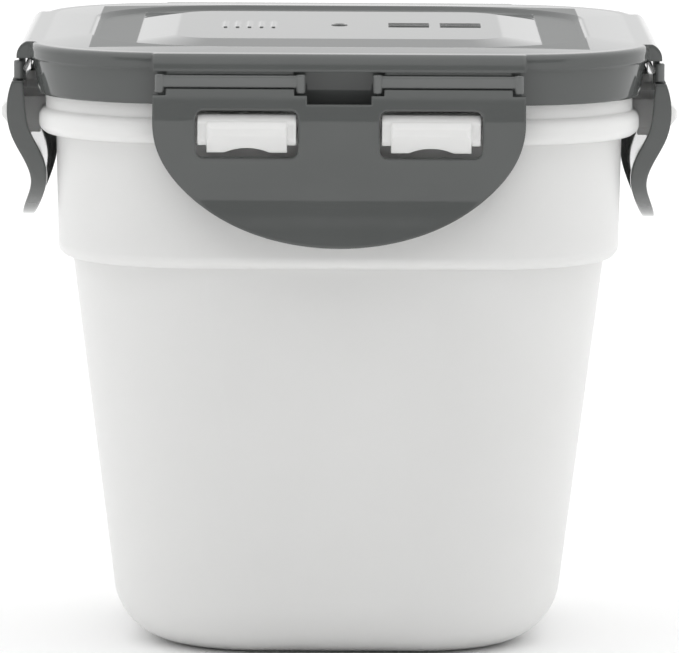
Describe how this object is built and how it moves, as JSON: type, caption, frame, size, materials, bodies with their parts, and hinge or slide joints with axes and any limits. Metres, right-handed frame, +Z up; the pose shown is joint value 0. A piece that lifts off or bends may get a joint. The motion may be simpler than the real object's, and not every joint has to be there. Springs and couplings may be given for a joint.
{
  "type": "food canister",
  "caption": "Square-plan frosted plastic food canister with a stepped tapered body, a smoky clip-on lid, a flip latch on a film hinge on each side and a silicone lid seal.",
  "frame": {"origin": "centre of the base, on the surface it stands on", "axes": "+Z up along the canister's axis, -Y towards the front, +X to the right"},
  "size_m": [0.1226, 0.1226, 0.112],
  "materials": {
    "frosted_body": "translucent frosted white polypropylene, satin outside",
    "smoke_lid": "glossy smoke-grey translucent polypropylene",
    "smoke_film": "thin smoke-grey polypropylene, lighter where it is thin",
    "silicone_seal": "soft translucent silicone"
  },
  "bodies": {
    "canister": {"canister": "frosted_body"},
    "lid": {"lid_panel": "smoke_lid", "seal_ring": "silicone_seal"},
    "front_hinge": {"front_hinge_left": "smoke_film", "front_hinge_right": "smoke_film"},
    "right_hinge": {"right_hinge_left": "smoke_film", "right_hinge_right": "smoke_film"},
    "back_hinge": {"back_hinge_left": "smoke_film", "back_hinge_right": "smoke_film"},
    "left_hinge": {"left_hinge_left": "smoke_film", "left_hinge_right": "smoke_film"},
    "front_latch": {"front_latch": "smoke_lid"},
    "right_latch": {"right_latch": "smoke_lid"},
    "back_latch": {"back_latch": "smoke_lid"},
    "left_latch": {"left_latch": "smoke_lid"}
  },
  "joints": [
    {"name": "lid_lift", "type": "slide", "parent": "canister", "child": "lid", "axis": [0, 0, 1], "range_m": [0, 0.009]},
    {"name": "front_hinge_fold", "type": "hinge", "parent": "lid", "child": "front_hinge", "pos_m": [0, -0.05775, 0.10725], "axis": [-1, 0, 0], "range_deg": [0, 90]},
    {"name": "front_latch_swing", "type": "hinge", "parent": "front_hinge", "child": "front_latch", "pos_m": [0, -0.05775, 0.10585], "axis": [-1, 0, 0], "range_deg": [0, 80]},
    {"name": "right_hinge_fold", "type": "hinge", "parent": "lid", "child": "right_hinge", "pos_m": [0.05775, 0, 0.10725], "axis": [0, -1, 0], "range_deg": [0, 90]},
    {"name": "right_latch_swing", "type": "hinge", "parent": "right_hinge", "child": "right_latch", "pos_m": [0.05775, 0, 0.10585], "axis": [0, -1, 0], "range_deg": [0, 80]},
    {"name": "back_hinge_fold", "type": "hinge", "parent": "lid", "child": "back_hinge", "pos_m": [0, 0.05775, 0.10725], "axis": [1, 0, 0], "range_deg": [0, 90]},
    {"name": "back_latch_swing", "type": "hinge", "parent": "back_hinge", "child": "back_latch", "pos_m": [0, 0.05775, 0.10585], "axis": [1, 0, 0], "range_deg": [0, 80]},
    {"name": "left_hinge_fold", "type": "hinge", "parent": "lid", "child": "left_hinge", "pos_m": [-0.05775, 0, 0.10725], "axis": [0, 1, 0], "range_deg": [0, 90]},
    {"name": "left_latch_swing", "type": "hinge", "parent": "left_hinge", "child": "left_latch", "pos_m": [-0.05775, 0, 0.10585], "axis": [0, 1, 0], "range_deg": [0, 80]}
  ],
  "couplings": [
    {"joint": "front_hinge_fold", "follows": "lid_lift", "rad_per_m": 174.51},
    {"joint": "right_hinge_fold", "follows": "lid_lift", "rad_per_m": 174.51},
    {"joint": "back_hinge_fold", "follows": "lid_lift", "rad_per_m": 174.51},
    {"joint": "left_hinge_fold", "follows": "lid_lift", "rad_per_m": 174.51}
  ]
}
